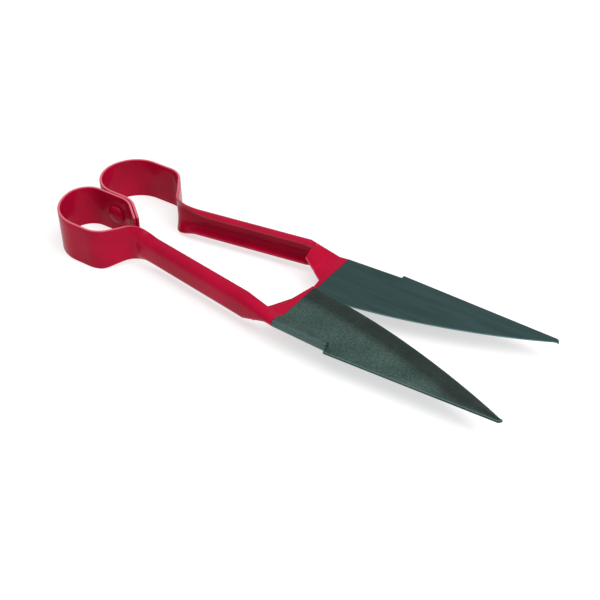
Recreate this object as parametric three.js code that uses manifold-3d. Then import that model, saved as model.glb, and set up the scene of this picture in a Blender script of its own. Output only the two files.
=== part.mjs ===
// Double-bow grass shears: two spring-steel halves, each one pressing that runs
// from a curled bow through a gutter-shaped handle to a flat blade, held together
// by one rivet through the lapped bows.
//
// Millimetres, +Z up. X runs along the shears from the bows to the blade tips,
// Y across them. The blades meet on the plane midway up the bows. The rear half
// is drawn like the front one and turned half a turn about the X axis. The two
// are bent and cut by hand and differ a little: in the size of the bow, in the
// heel behind the blade and at the tip. At the lap both tails follow the front
// bow. The origin is on the surface that the bows stand on, at the middle of the
// shears' length and between the halves.
import * as THREE from 'three';
import { mergeVertices } from 'three/addons/utils/BufferGeometryUtils.js';
import Module from 'manifold-3d';

// Overall sizes
const BOW_HEIGHT = 29;          // height of the flat bow strip
const STEEL = 1.8;              // thickness of the sheet
const GAP = 0.3;                // clearance between neighbouring pieces
const BLADE_GAP = 0.3;          // between the two blades
const X_BACK = -31;             // back of the bows
const X_TIP = 300;              // ends of the blades
const X_ORIGIN = (X_BACK + X_TIP) / 2;

// Bow, seen from above: corners of the strip's middle line, with rounding radii
const LAP_Y = -0.9;             // middle line of the front strip at the lap
const BOW_BACK_X = X_BACK + STEEL / 2;
const TAIL_END = [26.6, -14.8];
const TAIL_CORNER = [9.3, LAP_Y];
const TAIL_RADIUS = 18;
const FRONT_BOW = { sideY: -41.2, innerRadius: 14, outerRadius: 27, shoulderX: 16.8 };
const REAR_BOW = { sideY: -45.2, innerRadius: 23, outerRadius: 21.5, shoulderX: 14.8 };
const SHOULDER_RADIUS = 16;
const NECK = [30.5, -22.6];
const NECK_RADIUS = 9;
const PATH_STEP = 3.2;          // spacing of sections along a bend

// Handle: a gutter with rounded corners, open towards the middle of the shears
const CURL_START_X = 24;        // where the strip's edges begin to curl in
const CURL_END_X = 48;          // where the gutter has its full shape
const WAIST = 3.6;              // the strip's blade-side edge is cut back this far at the neck
const WAIST_XS = [16, 28, 34, 58];
const GUTTER_WEB = 3.6;         // half height of the flat web
const GUTTER_RADIUS = 4.0;      // corner radius at the middle of the sheet
const BLADE_ROOT_X = 154;       // end of the painted handle, start of the bare blade
const HANDLE_ROOT_Y = -41.3;    // middle of the web at the blade root
const RISE_START_X = 128.5;     // where the lower wing starts to rise to the blade
const RISE_END_X = 147.5;       // along the fold the rise ends here
const HEEL_START_X = 134.2;     // the lower wing starts to widen into the heel
const CUT_START_X = 152.6;      // the heel ends and the cutting edge starts

// Outline of each blade: the heel's free edge, the place where that edge has
// risen to the blade, the tip on the cutting edge, and the spine at the tip.
const FRONT_BLADE = {
  heel: [[HEEL_START_X, -29.6], [138, -28.8], [142.1, -27.2], [149, -13.8], [CUT_START_X, 3]],
  heelRiseEndX: 142,
  tip: [X_TIP, -37.4],
  spineTipY: -40.2,
};
const REAR_BLADE = {
  heel: [[HEEL_START_X, -29.6], [136.2, -18.8], [142, -18.8], [150.6, -12.4], [CUT_START_X, 3]],
  heelRiseEndX: 143.5,
  tip: [X_TIP - 3.2, -38.6],
  spineTipY: -41.4,
};

// Blade
const NOTCH_X = 192;            // end of the stiffening flange along the spine
const FLANGE_Y = -43.0;         // middle of the flange at the notch
const SPINE_Y = -44.8;          // spine of the blade just past the notch
const TIP_ROUND = 1.5;          // corner taken off the tip
const BLADE_STEP = 12;          // spacing of sections along the blade
const FLANGE_STEPS = 4;         // sections along the flange
const PLATE_OVERLAP = 0.5;      // the plain plate starts this far inside the flanged part
const CUT_CURVE = [[CUT_START_X, 3], [205, -1], [262, -20.3]];  // ends at the tip
const FOLD_RADIUS = 1.6;        // of the folds along the flange
const FLANGE_ROOT = 5.2;        // flange height at the blade root
const FLANGE_END = 6.6;         // flange height at the notch
const LIP_ROOT = 8.6;           // width of the folded lip at the blade root
const LIP_END = 3.6;            // and at the notch
const BEVEL_WIDTH = 11;         // hollow-ground band along the cutting edge
const EDGE_THICKNESS = 0.5;
const BEVEL_SHARE = 0.45;       // the band's largest share of the blade's width
const SHARPEN_LENGTH = 6;       // past the blade root the edge reaches its sharpness
const CURVE_HALVINGS = 40;      // fineness of the search along the cutting edge

const RED = { color: 0xb3122c, roughness: 0.28, metalness: 0.0 };
const STEEL_FINISH = { color: 0x3c4a45, roughness: 0.55, metalness: 0.6 };

// Rivet through the lap
const RIVET_X = -2;
const SHANK_RADIUS = 3;
const HEAD_RADIUS = 6.5;
const HEAD_HEIGHT = 3;
const TAIL_HEAD_RADIUS = 5;
const TAIL_HEAD_HEIGHT = 2;
const DOME_STEPS = 4;
const TURN_STEPS = 24;

const WELD = 1e-4;              // points closer than this are one point

const wasm = await Module();
wasm.setup();

const clamp01 = (value) => Math.min(Math.max(value, 0), 1);
const mix = (a, b, t) => a + (b - a) * t;
const ramp = (x, from, to) => clamp01((x - from) / (to - from));
const ease = (x, from, to) => {
  const t = ramp(x, from, to);
  return t * t * (3 - 2 * t);
};

// ---------------------------------------------------------------- plan path

// A chain of straight runs whose corners are rounded by arcs. Each corner is
// [x, y, radius]; the first and last have no radius. Returns the points with
// their directions, every arc in steps of about PATH_STEP.
function roundedPath(corners) {
  const path = [];
  const add = (point, direction) => path.push({ point, direction });
  let start = new THREE.Vector2(corners[0][0], corners[0][1]);
  for (let i = 1; i < corners.length; i += 1) {
    const corner = new THREE.Vector2(corners[i][0], corners[i][1]);
    const heading = corner.clone().sub(start).normalize();
    if (i === corners.length - 1) {
      add(start, heading);
      add(corner, heading);
      break;
    }
    const next = new THREE.Vector2(corners[i + 1][0], corners[i + 1][1]);
    const nextHeading = next.clone().sub(corner).normalize();
    const turn = Math.atan2(heading.cross(nextHeading), heading.dot(nextHeading));
    const radius = corners[i][2];
    const reach = radius * Math.tan(Math.abs(turn) / 2);
    const arcStart = corner.clone().addScaledVector(heading, -reach);
    if (i === 1) add(start, heading);
    const left = new THREE.Vector2(-heading.y, heading.x);
    const centre = arcStart.clone().addScaledVector(left, radius * Math.sign(turn));
    const steps = Math.max(2, Math.ceil((radius * Math.abs(turn)) / PATH_STEP));
    for (let k = 0; k <= steps; k += 1) {
      const angle = (turn * k) / steps;
      const point = arcStart.clone().rotateAround(centre, angle);
      const direction = heading.clone().rotateAround(new THREE.Vector2(), angle);
      add(point, direction);
    }
    start = corner.clone().addScaledVector(nextHeading, reach);
  }
  return path;
}

// ---------------------------------------------------------------- sections

// Every section is drawn in a local frame: n is the distance inwards from the
// path, z the height. It runs from the upper edge of the sheet over the web to
// the lower edge. Each entry is a point of the middle surface and the sheet's
// thickness there.
const ARC_STEPS = 3;
const ARC_LENGTH = (GUTTER_RADIUS * Math.PI) / 2;
const WING = BOW_HEIGHT / 2 - GUTTER_WEB - ARC_LENGTH;
const PLATE_Z = (BLADE_GAP + STEEL) / 2;
const LIP_Z = PLATE_Z + STEEL + GAP;

// The gutter, or the flat strip when curl is 0. The lower wing has one point
// more than the upper, because it widens into the blade further on.
function gutterSection(curl, trim) {
  const angle = Math.max(curl, 0.001) * (Math.PI / 2);
  const radius = ARC_LENGTH / angle;
  const arc = [];
  for (let k = 0; k <= ARC_STEPS; k += 1) {
    const turn = (angle * k) / ARC_STEPS;
    arc.push([radius * (1 - Math.cos(turn)), GUTTER_WEB + radius * Math.sin(turn)]);
  }
  const [arcN, arcZ] = arc[arc.length - 1];
  const wingPoint = (reach) => [arcN + reach * Math.sin(angle), arcZ + reach * Math.cos(angle)];
  const wing = WING - (STEEL / 2) * Math.sin(angle);
  const upper = [wingPoint(wing), ...[...arc].reverse()];
  const cut = wing - trim;
  const lower = [...arc, wingPoint(cut / 2), wingPoint(cut)].map(([n, z]) => [n, -z]);
  return [...upper, ...lower].map(([n, z]) => ({ n, z, thickness: STEEL }));
}

// The blade's section: a lip folded down over the plate, the flange, and the
// plate out to its free edge, which is hollow-ground where it cuts.
function bladeSection(lip, flangeHeight, plateWidth, edgeThickness) {
  const top = (BLADE_GAP - STEEL) / 2 + flangeHeight;
  const section = [{ n: lip, z: LIP_Z, thickness: STEEL }];
  for (let k = ARC_STEPS; k >= 0; k -= 1) {
    const turn = (Math.PI / 2) * (k / ARC_STEPS);
    section.push({
      n: FOLD_RADIUS * (1 - Math.cos(turn)),
      z: top - FOLD_RADIUS + FOLD_RADIUS * Math.sin(turn),
      thickness: STEEL,
    });
  }
  for (let k = 0; k <= ARC_STEPS; k += 1) {
    const turn = (Math.PI / 2) * (k / ARC_STEPS);
    section.push({
      n: FOLD_RADIUS * (1 - Math.cos(turn)),
      z: PLATE_Z + FOLD_RADIUS - FOLD_RADIUS * Math.sin(turn),
      thickness: STEEL,
    });
  }
  const bevel = bevelWidth(plateWidth);
  section.push({ n: plateWidth - bevel, z: PLATE_Z, thickness: STEEL });
  section.push({
    n: plateWidth,
    z: (BLADE_GAP + edgeThickness) / 2,
    thickness: edgeThickness,
  });
  return section;
}

function bevelWidth(plateWidth) {
  return Math.min(BEVEL_WIDTH, plateWidth * BEVEL_SHARE);
}

function mixSections(a, b, t) {
  return a.map((entry, i) => ({
    n: mix(entry.n, b[i].n, t),
    z: mix(entry.z, b[i].z, t),
    thickness: mix(entry.thickness, b[i].thickness, t),
  }));
}

// Both faces of a section, found from the direction of its middle line. The
// plate's faces stay level, so the blades lie flat on each other.
function faces(section) {
  return section.map((entry, i) => {
    const before = section[Math.max(i - 1, 0)];
    const after = section[Math.min(i + 1, section.length - 1)];
    const length = Math.hypot(after.n - before.n, after.z - before.z);
    const level = entry.level ? 1 : 0;
    const normalN = level ? 0 : (after.z - before.z) / length;
    const normalZ = level ? -1 : -(after.n - before.n) / length;
    const half = entry.thickness / 2;
    return {
      outer: [entry.n + normalN * half, entry.z + normalZ * half],
      inner: [entry.n - normalN * half, entry.z - normalZ * half],
    };
  });
}

// ---------------------------------------------------------------- solids

// Closes a row of sections into one sheet-metal solid. Each station has a plan
// point, the direction of n in plan, and a section.
function sheetGeometry(stations) {
  const positions = [];
  const index = [];
  const columns = stations[0].section.length;
  for (const { point, inward, section } of stations) {
    for (const side of ['outer', 'inner']) {
      for (const face of faces(section)) {
        const [n, z] = face[side];
        positions.push(point.x + inward.x * n, point.y + inward.y * n, z);
      }
    }
  }
  const at = (row, side, column) => (row * 2 + side) * columns + column;
  const quad = (a, b, c, d) => index.push(a, b, c, a, c, d);
  const rows = stations.length;
  for (let i = 0; i + 1 < rows; i += 1) {
    for (let j = 0; j + 1 < columns; j += 1) {
      quad(at(i, 0, j), at(i, 0, j + 1), at(i + 1, 0, j + 1), at(i + 1, 0, j));
      quad(at(i, 1, j), at(i + 1, 1, j), at(i + 1, 1, j + 1), at(i, 1, j + 1));
    }
    quad(at(i, 0, 0), at(i + 1, 0, 0), at(i + 1, 1, 0), at(i, 1, 0));
    const last = columns - 1;
    quad(at(i, 0, last), at(i, 1, last), at(i + 1, 1, last), at(i + 1, 0, last));
  }
  for (let j = 0; j + 1 < columns; j += 1) {
    quad(at(0, 0, j), at(0, 1, j), at(0, 1, j + 1), at(0, 0, j + 1));
    const end = rows - 1;
    quad(at(end, 0, j), at(end, 0, j + 1), at(end, 1, j + 1), at(end, 1, j));
  }
  const geometry = new THREE.BufferGeometry();
  geometry.setAttribute('position', new THREE.Float32BufferAttribute(positions, 3));
  geometry.setIndex(index);
  return geometry;
}

function toSolid(geometry) {
  const bare = geometry.clone();
  bare.deleteAttribute('normal');
  bare.deleteAttribute('uv');
  const merged = mergeVertices(bare, WELD);
  return new wasm.Manifold(new wasm.Mesh({
    numProp: 3,
    vertProperties: new Float32Array(merged.getAttribute('position').array),
    triVerts: new Uint32Array(merged.getIndex().array),
  }));
}

function fromSolid(solid) {
  const mesh = solid.getMesh();
  const geometry = new THREE.BufferGeometry();
  geometry.setAttribute('position', new THREE.BufferAttribute(mesh.vertProperties, 3));
  geometry.setIndex(new THREE.BufferAttribute(mesh.triVerts, 1));
  geometry.computeVertexNormals();
  return geometry;
}

// ---------------------------------------------------------------- one half

const webSlope = (HANDLE_ROOT_Y - NECK[1]) / (BLADE_ROOT_X - NECK[0]);
const flangeSlope = (FLANGE_Y - HANDLE_ROOT_Y) / (NOTCH_X - BLADE_ROOT_X);
const webY = (x) => (x < BLADE_ROOT_X
  ? NECK[1] + webSlope * (x - NECK[0])
  : HANDLE_ROOT_Y + flangeSlope * (x - BLADE_ROOT_X));

// The cutting edge as a smooth curve, read at any distance along the shears.
function cutY(x, shape) {
  const corners = [...CUT_CURVE, shape.tip].map(([px, py]) => new THREE.Vector2(px, py));
  const cutCurve = new THREE.CubicBezierCurve(...corners);
  let low = 0;
  let high = 1;
  for (let i = 0; i < CURVE_HALVINGS; i += 1) {
    const middle = (low + high) / 2;
    if (cutCurve.getPoint(middle).x < x) low = middle;
    else high = middle;
  }
  return cutCurve.getPoint(low).y;
}

function heelY(x, shape) {
  const gutterEdge = webY(x) + GUTTER_RADIUS + WING;
  if (x <= HEEL_START_X) return gutterEdge;
  for (let i = 0; i + 1 < shape.heel.length; i += 1) {
    const [x0, y0] = shape.heel[i];
    const [x1, y1] = shape.heel[i + 1];
    if (x <= x1) return mix(y0, y1, ramp(x, x0, x1));
  }
  return cutY(x, shape);
}

// The strip between the outside of the bow and the handle.
function strip(x) {
  const [from, full, until, gone] = WAIST_XS;
  const waist = ease(x, from, full) * (1 - ease(x, until, gone));
  return gutterSection(ease(x, CURL_START_X, CURL_END_X), WAIST * waist);
}

// Section of the handle at x: the strip curls into the gutter after the neck,
// and near the blade the gutter folds down onto the rising plate.
function armSection(x, shape) {
  const gutter = strip(x);
  if (x <= RISE_START_X) return gutter;
  const along = ramp(x, BLADE_ROOT_X, NOTCH_X);
  const width = heelY(x, shape) - webY(x);
  const sharp = mix(STEEL, EDGE_THICKNESS, ramp(x, CUT_START_X, BLADE_ROOT_X + SHARPEN_LENGTH));
  const lip = mix(LIP_ROOT, LIP_END, along);
  const flange = mix(FLANGE_ROOT, FLANGE_END, along);
  const blade = bladeSection(lip, flange, width, sharp);
  const section = mixSections(gutter, blade, ramp(x, RISE_START_X, RISE_END_X));
  const edge = section.length - 1;
  section[edge].n = width;
  section[edge - 1].n = Math.max(width - bevelWidth(width), section[edge - 2].n + STEEL / 2);
  const edgeRise = ease(x, HEEL_START_X, shape.heelRiseEndX);
  for (const column of [edge - 1, edge]) {
    section[column].z = mix(gutter[column].z, blade[column].z, edgeRise);
  }
  if (x >= RISE_END_X) {
    section[edge].level = true;
    section[edge - 1].level = true;
    section[edge - 2].level = true;
  }
  return section;
}

// Sections stand square to the handle at the neck and square to X at the blade.
function armStation(x, shape) {
  const lean = -webSlope * (1 - ramp(x, neckEnd.x, RISE_START_X));
  return {
    point: new THREE.Vector2(x, webY(x)),
    inward: new THREE.Vector2(lean, 1).normalize(),
    section: armSection(x, shape),
  };
}

// The strip's straight run into the handle starts where the neck's arc ends.
const neckEnd = { x: 0 };

function bowGeometry(bow, tail, tailCorner, tailRadius) {
  const path = roundedPath([
    tail,
    [...tailCorner, tailRadius],
    [BOW_BACK_X, tailCorner[1], bow.innerRadius],
    [BOW_BACK_X, bow.sideY, bow.outerRadius],
    [bow.shoulderX, bow.sideY, SHOULDER_RADIUS],
    [...NECK, NECK_RADIUS],
    [BLADE_ROOT_X, HANDLE_ROOT_Y],
  ]);
  path.pop();
  neckEnd.x = path[path.length - 1].point.x;
  return sheetGeometry(path.map(({ point, direction }, i) => ({
    point,
    inward: new THREE.Vector2(-direction.y, direction.x),
    section: i > path.length / 2 ? strip(point.x) : gutterSection(0, 0),
  })));
}

// Sections along the handle: close together where the strip curls and where the
// gutter turns into the blade.
const HANDLE_XS = [39, 42, 45, CURL_END_X, 58, 90, RISE_START_X, 132.4, 140, 145, RISE_END_X];

function handleGeometry(shape) {
  const corners = shape.heel.map(([x]) => x);
  const xs = [neckEnd.x + GAP, ...HANDLE_XS, ...corners, BLADE_ROOT_X - GAP / 2];
  return sheetGeometry(xs.sort((a, b) => a - b).map((x) => armStation(x, shape)));
}

// The blade past the flange: a flat plate with its tip cut off square.
function plateStation(x, shape) {
  const cornerX = shape.tip[0] - TIP_ROUND;
  const spine = mix(SPINE_Y, shape.spineTipY, ramp(x, NOTCH_X, cornerX));
  const corner = x > cornerX ? TIP_ROUND : 0;
  const width = cutY(x, shape) - spine - corner;
  const bevel = bevelWidth(width);
  const edge = { n: width, z: (BLADE_GAP + EDGE_THICKNESS) / 2, thickness: EDGE_THICKNESS, level: true };
  return {
    point: new THREE.Vector2(x, spine + corner),
    inward: new THREE.Vector2(0, 1),
    section: [
      { n: 0, z: PLATE_Z, thickness: STEEL, level: true },
      { n: width - bevel, z: PLATE_Z, thickness: STEEL, level: true },
      edge,
    ],
  };
}

function bladeGeometry(shape) {
  const flanged = [];
  flanged.push(armStation(BLADE_ROOT_X + GAP / 2, shape));
  for (let k = 0; k < FLANGE_STEPS; k += 1) {
    flanged.push(armStation(mix(BLADE_ROOT_X + SHARPEN_LENGTH, NOTCH_X, k / (FLANGE_STEPS - 1)), shape));
  }
  const plain = [];
  const [tipX] = shape.tip;
  for (let x = NOTCH_X - PLATE_OVERLAP; x < tipX - TIP_ROUND; x += BLADE_STEP) {
    plain.push(plateStation(x, shape));
  }
  plain.push(plateStation(tipX - TIP_ROUND, shape), plateStation(tipX, shape));
  return fromSolid(toSolid(sheetGeometry(flanged)).add(toSolid(sheetGeometry(plain))));
}

// ---------------------------------------------------------------- rivet

const lapMiddleY = LAP_Y + (STEEL + GAP) / 2;
const lapHalf = STEEL + GAP / 2;

function domeProfile(radius, height) {
  const profile = [];
  for (let k = 0; k <= DOME_STEPS; k += 1) {
    const angle = (Math.PI / 2) * (k / DOME_STEPS);
    profile.push([radius * Math.cos(angle), height * Math.sin(angle)]);
  }
  return profile;
}

// Turned about its own axis: a domed head, the shank and a smaller tail head.
function rivetGeometry() {
  const seat = lapHalf + GAP;
  const head = domeProfile(HEAD_RADIUS, HEAD_HEIGHT).reverse();
  const tail = domeProfile(TAIL_HEAD_RADIUS, TAIL_HEAD_HEIGHT);
  const profile = [
    ...tail.map(([r, h]) => [r, -seat - h]).reverse(),
    [SHANK_RADIUS, -seat],
    [SHANK_RADIUS, seat],
    ...head.map(([r, h]) => [r, seat + h]).reverse(),
  ].map(([r, h]) => new THREE.Vector2(r < WELD ? 0 : r, h));
  return new THREE.LatheGeometry(profile, TURN_STEPS);
}

function rivetHole() {
  const radius = SHANK_RADIUS + GAP;
  const hole = new THREE.CylinderGeometry(radius, radius, 4 * lapHalf, TURN_STEPS);
  hole.translate(RIVET_X, lapMiddleY, 0);
  return hole;
}

// ---------------------------------------------------------------- assembly

const painted = () => new THREE.MeshStandardMaterial(RED);
const bare = () => new THREE.MeshStandardMaterial(STEEL_FINISH);

function named(name, geometry, material) {
  const mesh = new THREE.Mesh(geometry, material);
  mesh.name = name;
  return mesh;
}

function half(side, bow, shape) {
  const group = new THREE.Group();
  group.add(
    named(`${side}_bow`, bow, painted()),
    named(`${side}_handle`, handleGeometry(shape), painted()),
    named(`${side}_blade`, bladeGeometry(shape), bare()),
  );
  return group;
}

// The rear tail lies against the outside of the front one, so seen in the rear
// half's own turned frame it bends the other way.
const spacing = STEEL + GAP;
const tailLine = new THREE.Vector2(TAIL_END[0] - TAIL_CORNER[0], TAIL_END[1] - TAIL_CORNER[1]).normalize();
const rearTailEnd = [TAIL_END[0] - tailLine.y * spacing, -(TAIL_END[1] + tailLine.x * spacing)];
const rearLapY = -(LAP_Y + spacing);
const rearTailCorner = [
  rearTailEnd[0] - (tailLine.x * (rearTailEnd[1] - rearLapY)) / -tailLine.y,
  rearLapY,
];

const holed = (geometry, hole) => fromSolid(toSolid(geometry).subtract(toSolid(hole)));
const frontBow = holed(bowGeometry(FRONT_BOW, TAIL_END, TAIL_CORNER, TAIL_RADIUS), rivetHole());
const rearBow = holed(
  bowGeometry(REAR_BOW, rearTailEnd, rearTailCorner, TAIL_RADIUS + spacing),
  rivetHole().rotateX(Math.PI),
);

const front = half('front', frontBow, FRONT_BLADE);
const rear = half('rear', rearBow, REAR_BLADE);
rear.rotation.x = Math.PI;

const rivet = named('bow_rivet', rivetGeometry(), painted());
rivet.position.set(RIVET_X, lapMiddleY, 0);
rivet.rotation.x = Math.PI;

const shears = new THREE.Group();
shears.add(front, rear, rivet);
shears.position.set(-X_ORIGIN, 0, BOW_HEIGHT / 2);
const model = new THREE.Group();
model.add(shears);

export default model;
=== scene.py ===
"""Double-bow grass shears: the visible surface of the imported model.

Drawn in millimetres in the shears' own frame: X from the bows to the tips, Y
across, Z up from the plane where the blades meet. place() takes a point from
there to the part's frame in metres.
"""
import bpy
import math
from mathutils import Matrix, Vector


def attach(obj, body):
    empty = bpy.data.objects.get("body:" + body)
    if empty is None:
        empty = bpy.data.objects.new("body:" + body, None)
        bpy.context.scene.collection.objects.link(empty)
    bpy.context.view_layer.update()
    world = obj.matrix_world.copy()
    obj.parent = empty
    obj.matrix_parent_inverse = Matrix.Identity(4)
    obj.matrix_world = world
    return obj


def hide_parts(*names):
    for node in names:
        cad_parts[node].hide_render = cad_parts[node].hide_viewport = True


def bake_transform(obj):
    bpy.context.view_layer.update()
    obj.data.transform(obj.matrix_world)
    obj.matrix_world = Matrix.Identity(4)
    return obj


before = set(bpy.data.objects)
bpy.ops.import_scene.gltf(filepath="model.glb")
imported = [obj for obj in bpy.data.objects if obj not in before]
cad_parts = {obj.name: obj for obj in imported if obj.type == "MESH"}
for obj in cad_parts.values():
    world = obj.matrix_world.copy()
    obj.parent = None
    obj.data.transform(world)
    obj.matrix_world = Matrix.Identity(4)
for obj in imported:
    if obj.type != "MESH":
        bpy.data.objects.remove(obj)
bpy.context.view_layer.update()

# ------------------------------------------------------------ dimensions, mm
BOW_HEIGHT = 29.0
STEEL = 1.8
GAP = 0.3
X_BACK = -31.0
X_TIP = 300.0
X_ORIGIN = (X_BACK + X_TIP) / 2

LAP_Y = -0.9              # middle of the front strip at the lap
BOW_BACK_X = X_BACK + STEEL / 2
TAIL_END = (26.6, -14.8)
TAIL_CORNER = (9.3, LAP_Y)
TAIL_RADIUS = 18.0
SHOULDER_RADIUS = 16.0
NECK = (30.5, -22.6)
NECK_RADIUS = 9.0
FRONT_BOW = {"side_y": -41.2, "inner": 14.0, "outer": 27.0, "shoulder_x": 16.8}
REAR_BOW = {"side_y": -45.2, "inner": 23.0, "outer": 21.5, "shoulder_x": 14.8}

CURL_START_X = 24.0
CURL_END_X = 48.0
WAIST = 3.6               # the strip's lower edge is cut back this far at the neck
WAIST_XS = (16.0, 28.0, 34.0, 58.0)
WEB_HALF = 3.6
GUTTER_RADIUS = 4.0
BLADE_ROOT_X = 154.0
HANDLE_ROOT_Y = -41.3
RISE_START_X = 128.5
RISE_END_X = 147.5
HEEL_START_X = 134.2
CUT_START_X = 152.6
# Outline of each blade: the heel's free edge, where it has risen to the blade, the
# tip on the cutting edge, and the spine at the tip.
FRONT_BLADE = {
    "heel": [(HEEL_START_X, -29.6), (138, -28.8), (142.1, -27.2), (149, -13.8), (CUT_START_X, 3)],
    "rise_end": 142.0,
    "tip": (X_TIP, -37.4),
    "spine_tip_y": -40.2,
}
REAR_BLADE = {
    "heel": [(HEEL_START_X, -29.6), (136.2, -18.8), (142, -18.8), (150.6, -12.4), (CUT_START_X, 3)],
    "rise_end": 143.5,
    "tip": (X_TIP - 3.2, -38.6),
    "spine_tip_y": -41.4,
}

NOTCH_X = 192.0
FLANGE_Y = -43.0
SPINE_Y = -44.8
TIP_ROUND = 1.5
CUT_CURVE = [(CUT_START_X, 3.0), (205.0, -1.0), (262.0, -20.3)]    # ends at the tip
FOLD_RADIUS = 1.6
FLANGE_ROOT = 5.2
FLANGE_END = 6.6
LIP_ROOT = 8.6
LIP_END = 3.6
BEVEL_WIDTH = 11.0
BEVEL_SHARE = 0.45
EDGE_THICKNESS = 0.5
SHARPEN_LENGTH = 6.0
PLATE_OVERLAP = 0.5       # the plain plate begins this far inside the flanged part
PLATE_SINK = 0.05         # the overlapping part is sunk by this, so no faces coincide
HOLLOW_DEPTH = 0.12       # of the hollow-ground band
BEVEL_STEPS = 4
GROUND_BAND = 18.0        # reach of the ground band's soft inner side
GROUND_SHARE = 1.25       # it is narrower than this share of the blade's width

RIVET_X = -2.0
SHANK_RADIUS = 3.0
HEAD_RADIUS = 6.5
HEAD_HEIGHT = 3.0
TAIL_HEAD_RADIUS = 5.0
TAIL_HEAD_HEIGHT = 2.0

# Painted highlights: where paint and bare steel are painted lighter round the free edges
RIM_HIGHLIGHT_XS = (18, 45)  # the bow's painted edge highlight fades out between these
HANDLE_RIM_LOSS = 0.85
HEEL_RIM_FADE = 2
HEEL_RIM_GAIN = 0.6
BARE_RIM = 0.8
FOLD_RIM = 0.2

# Fineness of the visible surface
PATH_STEP = 0.9
ARC_STEPS = 8
PAINT_ROUND = 0.62        # dip paint rounds the edges of the sheet
BARE_ROUND = 0.26         # the bare steel's edges are crisper
ROUND_STEPS = 3
CURL_STEP = 1.5           # spacing of sections where the strip curls into the gutter
CURL_DONE_X = 60.0        # from here the gutter is even
GUTTER_STEP = 6.0
RISE_STEP = 0.7
FLANGE_STEP = 2.5
BLADE_STEP = 3.0
TIP_STEP = 0.5
CURVE_HALVINGS = 40       # fineness of the search along the cutting edge
RIVET_TURNS = 48
DRILL_TURNS = 40
DRILL_REACH = 4.0
SMOOTH_ANGLE = math.radians(38)
OUTER_SIDE_Y = -30.0      # past this the strip has left the lap side of the ring

WING = BOW_HEIGHT / 2 - WEB_HALF - GUTTER_RADIUS * math.pi / 2
PLATE_Z = (GAP + STEEL) / 2
LIP_Z = PLATE_Z + STEEL + GAP


def mix(a, b, t):
    return a + (b - a) * t


def ramp(x, start, end):
    return min(max((x - start) / (end - start), 0.0), 1.0)


def ease(x, start, end):
    t = ramp(x, start, end)
    return t * t * (3 - 2 * t)


# ------------------------------------------------------------ plan path
def rounded_path(corners):
    """Points and directions along straight runs joined by arcs."""
    path = []
    start = Vector(corners[0][:2])
    for i in range(1, len(corners)):
        corner = Vector(corners[i][:2])
        heading = (corner - start).normalized()
        if i == len(corners) - 1:
            path.append((corner, heading))
            break
        following = (Vector(corners[i + 1][:2]) - corner).normalized()
        turn = math.atan2(heading.x * following.y - heading.y * following.x, heading.dot(following))
        radius = corners[i][2]
        reach = radius * math.tan(abs(turn) / 2)
        arc_start = corner - heading * reach
        run = (arc_start - start).length
        pieces = max(1, round(run / (2 * PATH_STEP)))
        for k in range(pieces):
            path.append((start.lerp(arc_start, k / pieces), heading))
        side = 1 if turn > 0 else -1
        left = Vector((-heading.y, heading.x))
        centre = arc_start + left * radius * side
        steps = max(2, math.ceil(radius * abs(turn) / PATH_STEP))
        for k in range(steps):
            angle = turn * k / steps
            spin = Matrix.Rotation(angle, 2)
            path.append((centre + spin @ (arc_start - centre), spin @ heading))
        start = corner + following * reach
    return path


# ------------------------------------------------------------ sections
# A section is a row of (n, z, thickness, level): n inwards from the path.
def gutter_section(curl, trim):
    angle = max(curl, 0.001) * math.pi / 2
    radius = GUTTER_RADIUS * math.pi / 2 / angle
    arc = []
    for k in range(ARC_STEPS + 1):
        turn = angle * k / ARC_STEPS
        arc.append((radius * (1 - math.cos(turn)), WEB_HALF + radius * math.sin(turn)))
    arc_n, arc_z = arc[-1]

    def wing_point(reach):
        return arc_n + reach * math.sin(angle), arc_z + reach * math.cos(angle)

    wing = WING - STEEL / 2 * math.sin(angle)
    cut = wing - trim
    upper = [wing_point(wing)] + arc[::-1]
    lower = arc + [wing_point(cut / 2), wing_point(cut)]
    return [(n, z, STEEL, 0) for n, z in upper] + [(n, -z, STEEL, 0) for n, z in lower]


def bevel_width(width):
    return min(BEVEL_WIDTH, width * BEVEL_SHARE)


def blade_section(lip, flange, width, edge):
    top = (GAP - STEEL) / 2 + flange
    section = [(lip, LIP_Z, STEEL, 0)]
    for k in range(ARC_STEPS, -1, -1):
        turn = math.pi / 2 * k / ARC_STEPS
        z = top - FOLD_RADIUS + FOLD_RADIUS * math.sin(turn)
        section.append((FOLD_RADIUS * (1 - math.cos(turn)), z, STEEL, 0))
    for k in range(ARC_STEPS + 1):
        turn = math.pi / 2 * k / ARC_STEPS
        z = PLATE_Z + FOLD_RADIUS - FOLD_RADIUS * math.sin(turn)
        section.append((FOLD_RADIUS * (1 - math.cos(turn)), z, STEEL, 0))
    section.append((width - bevel_width(width), PLATE_Z, STEEL, 0))
    section.append((width, (GAP + edge) / 2, edge, 0))
    return section


def web_y(x):
    if x < BLADE_ROOT_X:
        return mix(NECK[1], HANDLE_ROOT_Y, (x - NECK[0]) / (BLADE_ROOT_X - NECK[0]))
    return mix(HANDLE_ROOT_Y, FLANGE_Y, (x - BLADE_ROOT_X) / (NOTCH_X - BLADE_ROOT_X))


def cut_y(x, shape):
    curve = [*CUT_CURVE, shape["tip"]]
    low, high = 0.0, 1.0
    for _ in range(CURVE_HALVINGS):
        t = (low + high) / 2
        if bezier(curve, t, 0) < x:
            low = t
        else:
            high = t
    return bezier(curve, low, 1)


def bezier(curve, t, axis):
    a, b, c, d = (point[axis] for point in curve)
    s = 1 - t
    return s * s * s * a + 3 * s * s * t * b + 3 * s * t * t * c + t * t * t * d


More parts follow.
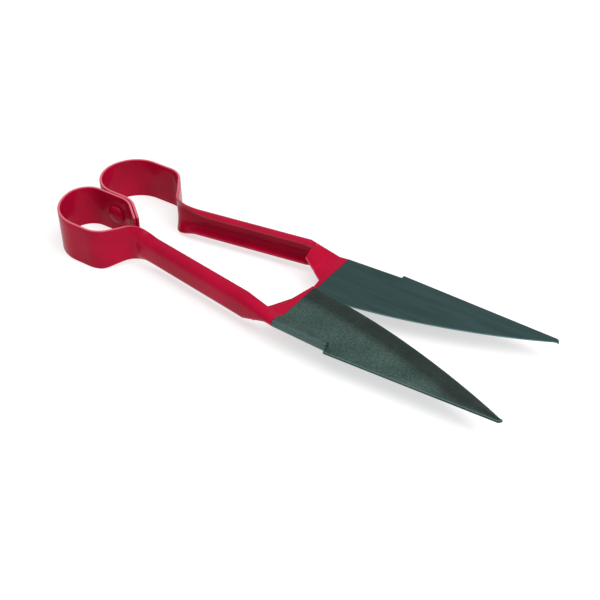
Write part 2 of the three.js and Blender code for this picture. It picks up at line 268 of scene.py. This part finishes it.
def heel_y(x, shape):
    if x <= HEEL_START_X:
        return web_y(x) + GUTTER_RADIUS + WING
    edge = shape["heel"]
    for (x0, y0), (x1, y1) in zip(edge[:-1], edge[1:]):
        if x <= x1:
            return mix(y0, y1, ramp(x, x0, x1))
    return cut_y(x, shape)


def strip(x):
    begin, full, until, gone = WAIST_XS
    waist = ease(x, begin, full) * (1 - ease(x, until, gone))
    return gutter_section(ease(x, CURL_START_X, CURL_END_X), WAIST * waist)


def arm_section(x, shape):
    gutter = strip(x)
    if x <= RISE_START_X:
        return gutter
    along = ramp(x, BLADE_ROOT_X, NOTCH_X)
    width = heel_y(x, shape) - web_y(x)
    sharp = mix(STEEL, EDGE_THICKNESS, ramp(x, CUT_START_X, BLADE_ROOT_X + SHARPEN_LENGTH))
    blade = blade_section(
        mix(LIP_ROOT, LIP_END, along), mix(FLANGE_ROOT, FLANGE_END, along), width, sharp
    )
    t = ramp(x, RISE_START_X, RISE_END_X)
    section = []
    for a, b in zip(gutter, blade):
        section.append([mix(a[0], b[0], t), mix(a[1], b[1], t), mix(a[2], b[2], t), 0])
    section[-1][0] = width
    section[-2][0] = max(width - bevel_width(width), section[-3][0] + STEEL / 2)
    rise = ease(x, HEEL_START_X, shape["rise_end"])
    for k in (-2, -1):
        section[k][1] = mix(gutter[k][1], blade[k][1], rise)
    if x >= RISE_END_X:
        for k in (-3, -2, -1):
            section[k][3] = 1
    return [tuple(entry) for entry in section]


# ------------------------------------------------------------ sheet solids
def loop(section, shrink, rounding, rim_at):
    """The closed outline of a section, with the sheet's free edges rounded.
    Each point is (n, z, contact, rim): contact is 1 on the face that meets the
    other blade. rim is rim_at of the angle round a free edge, and 0 elsewhere."""
    count = len(section)
    outer, inner, caps = [], [], []
    for i, (n, z, thickness, level) in enumerate(section):
        n0, z0 = section[max(i - 1, 0)][:2]
        n1, z1 = section[min(i + 1, count - 1)][:2]
        length = math.hypot(n1 - n0, z1 - z0)
        along = ((n1 - n0) / length, (z1 - z0) / length)
        normal = (0.0, -1.0) if level else (along[1], -along[0])
        half = thickness / 2 - shrink
        if i in (0, count - 1):
            out = -1 if i == 0 else 1
            out_n, out_z = (-normal[1] * out, normal[0] * out)
            r = min(rounding, half * 0.95)
            base_n, base_z = n - out_n * (shrink + r), z - out_z * (shrink + r)
            corner = []
            for sign in (1, -1):
                for k in range(ROUND_STEPS + 1):
                    angle = math.pi / 2 * k / ROUND_STEPS
                    if sign < 0:
                        angle = math.pi / 2 - angle
                    up = sign * (half - r + r * math.cos(angle))
                    ahead = r * math.sin(angle)
                    corner.append((
                        base_n + normal[0] * up + out_n * ahead,
                        base_z + normal[1] * up + out_z * ahead,
                        level if sign > 0 else 0.0,
                        rim_at(angle),
                    ))
            caps.append(corner)
        else:
            outer.append((n + normal[0] * half, z + normal[1] * half, level, 0.0))
            inner.append((n - normal[0] * half, z - normal[1] * half, 0.0, 0.0))
    return outer + caps[1] + inner[::-1] + caps[0][::-1]


def rim_highlight_on_paint(x, angle):
    """Painted highlight on the crest of a free edge, strongest on the bow and the heel."""
    bow_end, handle_start = RIM_HIGHLIGHT_XS
    heel = ease(x, HEEL_START_X - HEEL_RIM_FADE, HEEL_START_X + HEEL_RIM_FADE)
    strength = 1 - HANDLE_RIM_LOSS * ease(x, bow_end, handle_start) + HEEL_RIM_GAIN * heel
    return strength * math.sin(angle) ** 3


def bare_rim(x, angle):
    """A painted highlight along both corners of the bare steel."""
    return BARE_RIM * math.sin(2 * angle)


def sheet(stations, rounding, rim_at, fold_rim=0.0):
    """Closes rows of sections into one sheet-metal solid. A station is
    (x, y, inward direction, section, shrink). fold_rim paints a highlight on
    the folds at the spine. The last list is the distance from the free edge,
    where 1 is the inner side of the ground band."""
    points, faces, contacts, rims, edges = [], [], [], [], []
    size = 0
    for x, y, inward, section, shrink in stations:
        ring = loop(section, shrink, rounding, lambda angle: rim_at(x, angle))
        size = len(ring)
        last = section[-1][0]
        for n, z, contact, rim in ring:
            points.append((x + inward.x * n, y + inward.y * n, z))
            contacts.append(float(contact))
            rims.append(max(rim, fold_rim * (1 - ramp(n, 0, FOLD_RADIUS))))
            edges.append((last - n) / min(GROUND_BAND, GROUND_SHARE * last))
    rows = len(stations)
    for i in range(rows - 1):
        for j in range(size):
            k = (j + 1) % size
            a, b = i * size + j, i * size + k
            faces.append((a, b, b + size, a + size))
    faces.append(tuple(range(size))[::-1])
    faces.append(tuple(range((rows - 1) * size, rows * size)))
    return points, faces, contacts, rims, edges


def joined(parts):
    points, faces, marks = [], [], [[], [], []]
    for part in parts:
        base = len(points)
        points += part[0]
        faces += [tuple(k + base for k in face) for face in part[1]]
        for mark, values in zip(marks, part[2:]):
            mark += values
    return (points, faces, *marks)


def rounded_start(station, rounding):
    """The first section of a sheet, with smaller ones ahead of it to round its end."""
    x, y, inward, section, _ = station
    made = []
    for k in range(ROUND_STEPS + 1):
        angle = math.pi / 2 * k / ROUND_STEPS
        ahead = rounding * (1 - math.cos(angle))
        shrink = rounding * (1 - math.sin(angle))
        made.append((x + inward.y * ahead, y - inward.x * ahead, inward, section, shrink))
    return made


def bow_stations(bow, tail, tail_corner, tail_radius):
    path = rounded_path([
        tail,
        (*tail_corner, tail_radius),
        (BOW_BACK_X, tail_corner[1], bow["inner"]),
        (BOW_BACK_X, bow["side_y"], bow["outer"]),
        (bow["shoulder_x"], bow["side_y"], SHOULDER_RADIUS),
        (*NECK, NECK_RADIUS),
        (BLADE_ROOT_X, HANDLE_ROOT_Y),
    ])
    path.pop()
    stations = []
    turned = False
    for point, heading in path:
        turned = turned or heading.x > 0.5 and point.y < OUTER_SIDE_Y
        section = strip(point.x) if turned else gutter_section(0, 0)
        stations.append((point.x, point.y, Vector((-heading.y, heading.x)), section, 0.0))
    return stations


def arm_station(x, neck_x, shape):
    slope = (HANDLE_ROOT_Y - NECK[1]) / (BLADE_ROOT_X - NECK[0])
    lean = -slope * (1 - ramp(x, neck_x, RISE_START_X))
    return x, web_y(x), Vector((lean, 1)).normalized(), arm_section(x, shape), 0.0


def spread(start, end, step):
    count = max(1, math.ceil((end - start) / step))
    return [mix(start, end, k / count) for k in range(count)]


def shank(bow, shape, tail, tail_corner, tail_radius):
    """Bow and handle as the one painted sheet that they are."""
    stations = bow_stations(bow, tail, tail_corner, tail_radius)
    neck_x = stations[-1][0]
    end = BLADE_ROOT_X - GAP / 2
    xs = spread(neck_x + 1, CURL_DONE_X, CURL_STEP) + spread(CURL_DONE_X, RISE_START_X, GUTTER_STEP)
    xs += spread(RISE_START_X, end, RISE_STEP) + [x for x, _ in shape["heel"]] + [end]
    stations += [arm_station(x, neck_x, shape) for x in sorted(set(xs))]
    return sheet(rounded_start(stations[0], PAINT_ROUND) + stations[1:], PAINT_ROUND, rim_highlight_on_paint)


def plate_station(x, shape):
    corner_x = shape["tip"][0] - TIP_ROUND
    spine = mix(SPINE_Y, shape["spine_tip_y"], ramp(x, NOTCH_X, corner_x))
    corner = max(0.0, x - corner_x)
    width = cut_y(x, shape) - spine - corner
    bevel = bevel_width(width)
    section = [
        (0.0, PLATE_Z, STEEL, 1),
        ((width - bevel) / 2, PLATE_Z, STEEL, 1),
        (width - bevel, PLATE_Z, STEEL, 1),
    ]
    for k in range(1, BEVEL_STEPS + 1):
        t = k / BEVEL_STEPS
        hollow = HOLLOW_DEPTH * math.sin(math.pi * t)
        thickness = mix(STEEL, EDGE_THICKNESS, t) - hollow
        section.append((width - bevel * (1 - t), (GAP + thickness) / 2, thickness, 1))
    sunk = PLATE_SINK if x < NOTCH_X else 0.0
    return x, spine + corner, Vector((0, 1)), section, sunk


def blade(shape):
    flanged = []
    for x in spread(BLADE_ROOT_X + GAP / 2, NOTCH_X, FLANGE_STEP) + [NOTCH_X]:
        flanged.append(arm_station(x, 0, shape))
    plain = []
    xs = [NOTCH_X - PLATE_OVERLAP, NOTCH_X - PLATE_SINK]
    tip_x = shape["tip"][0]
    xs += spread(NOTCH_X, tip_x - TIP_ROUND, BLADE_STEP)
    xs += spread(tip_x - TIP_ROUND, tip_x, TIP_STEP) + [tip_x]
    for x in xs:
        plain.append(plate_station(x, shape))
    return joined([sheet(flanged, BARE_ROUND, bare_rim, FOLD_RIM), sheet(plain, BARE_ROUND, bare_rim)])


def lathe(profile, turns):
    """A profile of (radius, height) turned about Y through the rivet."""
    points, faces = [], []
    for r, h in profile:
        if r < 1e-6:
            points.append([(0.0, h, 0.0)])
        else:
            points.append([
                (r * math.cos(2 * math.pi * k / turns), h, r * math.sin(2 * math.pi * k / turns))
                for k in range(turns)
            ])
    flat, start = [], []
    for ring in points:
        start.append(len(flat))
        flat += ring
    for i in range(len(points) - 1):
        a, b = start[i], start[i + 1]
        for k in range(turns):
            m = (k + 1) % turns
            if len(points[i]) == 1:
                faces.append((a, b + k, b + m))
            elif len(points[i + 1]) == 1:
                faces.append((a + m, a + k, b))
            else:
                faces.append((a + m, a + k, b + k, b + m))
    zeros = [0.0] * len(flat)
    return flat, faces, zeros, zeros, zeros


LAP_MIDDLE_Y = LAP_Y + (STEEL + GAP) / 2
LAP_HALF = STEEL + GAP / 2


def dome(radius, height, count):
    profile = []
    for k in range(count + 1):
        angle = math.pi / 2 * k / count
        profile.append((radius * math.cos(angle) if k < count else 0.0, height * math.sin(angle)))
    return profile


def rivet():
    seat = LAP_HALF + GAP
    profile = [(r, -seat - h) for r, h in dome(HEAD_RADIUS, HEAD_HEIGHT, 12)][::-1]
    profile += [(SHANK_RADIUS, -seat), (SHANK_RADIUS, seat)]
    profile += [(r, seat + h) for r, h in dome(TAIL_HEAD_RADIUS, TAIL_HEAD_HEIGHT, 10)]
    points, *rest = lathe(profile, RIVET_TURNS)
    return ([(x + RIVET_X, y + LAP_MIDDLE_Y, z) for x, y, z in points], *rest)


# ------------------------------------------------------------ objects
def place(point, turned):
    x, y, z = point
    if turned:
        y, z = -y, -z
    return (x - X_ORIGIN) / 1000, y / 1000, (z + BOW_HEIGHT / 2) / 1000


def piece(name, shape, turned, material, hole=False):
    points, faces, contacts, rims, edges = shape
    mesh = bpy.data.meshes.new(name)
    mesh.from_pydata([place(p, turned) for p in points], [], faces)
    for key, values in (("contact_face", contacts), ("rim", rims), ("edge_distance", edges)):
        mesh.attributes.new(key, "FLOAT", "POINT").data.foreach_set("value", values)
    mesh.validate()
    mesh.update()
    ob = bpy.data.objects.new(name, mesh)
    bpy.context.scene.collection.objects.link(ob)
    if hole:
        drill(ob)
    mesh = ob.data
    rest = mesh.attributes.new("rest_place", "FLOAT_VECTOR", "POINT")
    rest.data.foreach_set("vector", [c for v in mesh.vertices for c in v.co])
    mesh.materials.clear()
    mesh.materials.append(material)
    mesh.shade_smooth()
    mesh.set_sharp_from_angle(angle=SMOOTH_ANGLE)
    return ob


def drill(ob):
    """Cuts the rivet's hole through the lapped strip."""
    radius = SHANK_RADIUS + GAP
    reach = DRILL_REACH
    profile = [(0.0, -reach), (radius, -reach), (radius, reach), (0.0, reach)]
    points, faces, *_ = lathe(profile, DRILL_TURNS)
    mesh = bpy.data.meshes.new("drill")
    mesh.from_pydata(
        [place((x + RIVET_X, y + LAP_MIDDLE_Y, z), False) for x, y, z in points], [], faces
    )
    tool = bpy.data.objects.new("drill", mesh)
    bpy.context.scene.collection.objects.link(tool)
    cut = ob.modifiers.new("hole", "BOOLEAN")
    cut.operation = "DIFFERENCE"
    cut.object = tool
    cut.solver = "EXACT"
    bpy.context.view_layer.update()
    shaped = ob.evaluated_get(bpy.context.evaluated_depsgraph_get())
    ob.data = bpy.data.meshes.new_from_object(shaped)
    ob.modifiers.clear()
    bpy.data.objects.remove(tool)


# ------------------------------------------------------------ materials
def attribute(tree, name):
    made = tree.nodes.new("ShaderNodeAttribute")
    made.attribute_name = name
    return made


def noise(tree, vector, scale, detail, rough=0.5):
    made = tree.nodes.new("ShaderNodeTexNoise")
    made.inputs["Scale"].default_value = scale
    made.inputs["Detail"].default_value = detail
    made.inputs["Roughness"].default_value = rough
    tree.links.new(vector, made.inputs["Vector"])
    return made


def ramp_node(tree, source, stops):
    made = tree.nodes.new("ShaderNodeValToRGB")
    ramp_data = made.color_ramp
    while len(ramp_data.elements) < len(stops):
        ramp_data.elements.new(0.5)
    for element, (position, colour) in zip(ramp_data.elements, stops):
        element.position = position
        element.color = (*colour, 1.0)
    tree.links.new(source, made.inputs["Fac"])
    return made


def grey(value):
    return (value, value, value)


def blend_colours(tree, factor, first, second, kind="MIX"):
    made = tree.nodes.new("ShaderNodeMix")
    made.data_type = "RGBA"
    made.blend_type = kind
    sockets = {s.identifier: s for s in made.inputs}
    for key, value in (("Factor_Float", factor), ("A_Color", first), ("B_Color", second)):
        if hasattr(value, "links"):
            tree.links.new(value, sockets[key])
        elif key == "Factor_Float":
            sockets[key].default_value = value
        else:
            sockets[key].default_value = (*value, 1.0)
    return {s.identifier: s for s in made.outputs}["Result_Color"]


def new_material(name):
    material = bpy.data.materials.new(name)
    material.use_nodes = True
    tree = material.node_tree
    tree.nodes.clear()
    output = tree.nodes.new("ShaderNodeOutputMaterial")
    shader = tree.nodes.new("ShaderNodeBsdfPrincipled")
    tree.links.new(shader.outputs["BSDF"], output.inputs["Surface"])
    return material, tree, shader


def paint_material():
    """Glossy red dip paint: slightly uneven in depth, with faint orange peel, and a painted pink
    highlight on the crests of the free edges.
    """
    material, tree, shader = new_material("red_dip_paint")
    rest = attribute(tree, "rest_place").outputs["Vector"]
    depth = noise(tree, rest, 45, 3)
    colour = ramp_node(
        tree, depth.outputs["Fac"], [(0.3, (0.30, 0.0022, 0.022)), (0.7, (0.38, 0.0030, 0.028))]
    )
    rim = attribute(tree, "rim").outputs["Fac"]
    # Painted highlight: the rim attribute mixes a light pink into the crests of the free edges.
    paint_rim_highlight = blend_colours(tree, rim, colour.outputs["Color"], (0.62, 0.14, 0.18))
    tree.links.new(paint_rim_highlight, shader.inputs["Base Color"])
    gloss = noise(tree, rest, 160, 2)
    rough = ramp_node(tree, gloss.outputs["Fac"], [(0.3, grey(0.2)), (0.7, grey(0.28))])
    tree.links.new(rough.outputs["Color"], shader.inputs["Roughness"])
    peel = noise(tree, rest, 420, 2)
    bump = tree.nodes.new("ShaderNodeBump")
    bump.inputs["Strength"].default_value = 0.05
    bump.inputs["Distance"].default_value = 0.0004
    tree.links.new(peel.outputs["Fac"], bump.inputs["Height"])
    tree.links.new(bump.outputs["Normal"], shader.inputs["Normal"])
    shader.inputs["IOR"].default_value = 1.45
    shader.inputs["Specular IOR Level"].default_value = 0.06
    shader.inputs["Coat Weight"].default_value = 0.04
    shader.inputs["Coat Roughness"].default_value = 0.12
    return material


def steel_material():
    """Dark oxidised blade steel: mottled and speckled on the outer face, with a
    darker hollow-ground band, smoother and bluer on the inner face, and painted
    highlights along the cutting edge, the corners and the folds."""
    material, tree, shader = new_material("dark_blade_steel")
    rest = attribute(tree, "rest_place").outputs["Vector"]
    contact = attribute(tree, "contact_face").outputs["Fac"]
    edge = attribute(tree, "edge_distance").outputs["Fac"]
    cloud = noise(tree, rest, 55, 4)
    grain = noise(tree, rest, 900, 3, 0.7)
    outer_base = ramp_node(
        tree, cloud.outputs["Fac"], [(0.3, (0.019, 0.043, 0.036)), (0.7, (0.038, 0.070, 0.060))]
    )
    speck = ramp_node(tree, grain.outputs["Fac"], [(0.35, grey(0.55)), (0.65, grey(1.6))])
    mottled = blend_colours(tree, 1.0, outer_base.outputs["Color"], speck.outputs["Color"], "MULTIPLY")
    band = ramp_node(
        tree, edge,
        [(0.0, grey(0.5)), (0.2, grey(0.34)), (0.6, grey(0.34)), (0.88, grey(0.85)), (1.0, grey(1.0))],
    )
    banded = blend_colours(tree, 1.0, mottled, band.outputs["Color"], "MULTIPLY")
    stretched = tree.nodes.new("ShaderNodeMapping")
    stretched.inputs["Scale"].default_value = (0.12, 1.0, 1.0)
    tree.links.new(rest, stretched.inputs["Vector"])
    streak = noise(tree, stretched.outputs["Vector"], 260, 3)
    inner_base = ramp_node(
        tree, streak.outputs["Fac"], [(0.3, (0.012, 0.036, 0.036)), (0.7, (0.021, 0.050, 0.050))]
    )
    # Painted highlight: a light line along the cutting edge on the inner face.
    cutting_edge_highlight = ramp_node(tree, edge, [(0.0, grey(2.6)), (0.035, grey(2.2)), (0.06, grey(1.0))])
    inner_with_edge_highlight = blend_colours(
        tree, 1.0, inner_base.outputs["Color"], cutting_edge_highlight.outputs["Color"], "MULTIPLY"
    )
    colour = blend_colours(tree, contact, banded, inner_with_edge_highlight)
    rims = attribute(tree, "rim").outputs["Fac"]
    # Painted highlight: the rim attribute mixes a light teal into the steel's corners and spine folds.
    steel_rim_highlight = blend_colours(tree, rims, colour, (0.14, 0.24, 0.25))
    tree.links.new(steel_rim_highlight, shader.inputs["Base Color"])
    rough = ramp_node(tree, grain.outputs["Fac"], [(0.3, grey(0.48)), (0.7, grey(0.66))])
    tree.links.new(rough.outputs["Color"], shader.inputs["Roughness"])
    bump = tree.nodes.new("ShaderNodeBump")
    bump.inputs["Strength"].default_value = 0.12
    bump.inputs["Distance"].default_value = 0.0002
    tree.links.new(grain.outputs["Fac"], bump.inputs["Height"])
    tree.links.new(bump.outputs["Normal"], shader.inputs["Normal"])
    shader.inputs["Metallic"].default_value = 0.2
    shader.inputs["Specular IOR Level"].default_value = 0.3
    return material


def floor_material():
    """Near-white floor that glows a little, so that shadows on it stay faint."""
    material, tree, shader = new_material("pale_floor")
    where = tree.nodes.new("ShaderNodeTexCoord")
    faint = noise(tree, where.outputs["Object"], 3, 2)
    colour = ramp_node(tree, faint.outputs["Fac"], [(0.3, grey(0.43)), (0.7, grey(0.45))])
    tree.links.new(colour.outputs["Color"], shader.inputs["Base Color"])
    shader.inputs["Roughness"].default_value = 0.9
    shader.inputs["Specular IOR Level"].default_value = 0.1
    shader.inputs["Emission Color"].default_value = (1.0, 1.0, 1.0, 1.0)
    shader.inputs["Emission Strength"].default_value = 0.6
    return material


paint = paint_material()
steel = steel_material()

# The rear tail lies against the outside of the front one, so seen in the rear
# half's own turned frame it bends the other way.
spacing = STEEL + GAP
tail_line = (Vector(TAIL_END) - Vector(TAIL_CORNER)).normalized()
rear_tail_end = (TAIL_END[0] - tail_line.y * spacing, -(TAIL_END[1] + tail_line.x * spacing))
rear_lap_y = -(LAP_Y + spacing)
rear_tail_corner = (
    rear_tail_end[0] - tail_line.x * (rear_tail_end[1] - rear_lap_y) / -tail_line.y,
    rear_lap_y,
)

front_shank = piece(
    "front_shank", shank(FRONT_BOW, FRONT_BLADE, TAIL_END, TAIL_CORNER, TAIL_RADIUS), False, paint, True
)
rear_shank = piece(
    "rear_shank",
    shank(REAR_BOW, REAR_BLADE, rear_tail_end, rear_tail_corner, TAIL_RADIUS + spacing),
    True, paint, True,
)
front_plate = piece("front_plate", blade(FRONT_BLADE), False, steel)
rear_plate = piece("rear_plate", blade(REAR_BLADE), True, steel)
lap_rivet = piece("lap_rivet", rivet(), False, paint)


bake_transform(front_shank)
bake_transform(rear_shank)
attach(front_plate, "front_arm")
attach(rear_plate, "rear_arm")
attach(lap_rivet, "bow_spring")
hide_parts("front_bow", "front_handle")
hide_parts("rear_bow", "rear_handle")
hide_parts("front_blade")
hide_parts("rear_blade")
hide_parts("bow_rivet")

# ------------------------------------------------------------ studio
floor_mesh = bpy.data.meshes.new("floor")
FLOOR_HALF = 6.0
floor_mesh.from_pydata(
    [(-FLOOR_HALF, -FLOOR_HALF, 0), (FLOOR_HALF, -FLOOR_HALF, 0),
     (FLOOR_HALF, FLOOR_HALF, 0), (-FLOOR_HALF, FLOOR_HALF, 0)],
    [], [(0, 1, 2, 3)],
)
floor_mesh.materials.append(floor_material())
floor = bpy.data.objects.new("floor", floor_mesh)
bpy.context.scene.collection.objects.link(floor)

world = bpy.data.worlds.new("studio")
bpy.context.scene.world = world
world.use_nodes = True
backdrop = world.node_tree.nodes["Background"]
backdrop.inputs["Color"].default_value = (1.0, 1.0, 1.0, 1.0)
backdrop.inputs["Strength"].default_value = 0.5


def softbox(name, location, target, width, height, power):
    data = bpy.data.lights.new(name, "AREA")
    data.shape = "RECTANGLE"
    data.size, data.size_y = width, height
    data.energy = power
    lamp = bpy.data.objects.new(name, data)
    lamp.location = location
    aim = (Vector(target) - Vector(location)).to_track_quat("-Z", "Y")
    lamp.rotation_mode = "QUATERNION"
    lamp.rotation_quaternion = aim
    bpy.context.scene.collection.objects.link(lamp)
    return lamp


softbox("overhead", (0.3, -0.1, 1.3), (0, 0, 0), 1.4, 1.0, 15)
softbox("right_key", (1.0, -0.1, 0.75), (0, 0, 0.02), 0.5, 0.5, 6)

camera_data = bpy.data.cameras.new("camera")
CAMERA_AZIMUTH = math.radians(35.3)
CAMERA_ELEVATION = math.radians(37.72)
CAMERA_ROLL = math.radians(-0.92)
CAMERA_PLACE = (0.32824, -0.44911, 0.42976)
camera_data.sensor_width = 36.0
camera_data.lens = 68.11
camera = bpy.data.objects.new("camera", camera_data)
back = Vector((
    math.sin(CAMERA_AZIMUTH) * math.cos(CAMERA_ELEVATION),
    -math.cos(CAMERA_AZIMUTH) * math.cos(CAMERA_ELEVATION),
    math.sin(CAMERA_ELEVATION),
))
level_right = Vector((math.cos(CAMERA_AZIMUTH), math.sin(CAMERA_AZIMUTH), 0))
level_up = back.cross(level_right)
right = math.cos(CAMERA_ROLL) * level_right + math.sin(CAMERA_ROLL) * level_up
up = back.cross(right)
camera.matrix_world = Matrix((
    (right.x, up.x, back.x, CAMERA_PLACE[0]),
    (right.y, up.y, back.y, CAMERA_PLACE[1]),
    (right.z, up.z, back.z, CAMERA_PLACE[2]),
    (0, 0, 0, 1),
))
bpy.context.scene.collection.objects.link(camera)
bpy.context.scene.camera = camera
bpy.context.scene.view_settings.view_transform = "Standard"
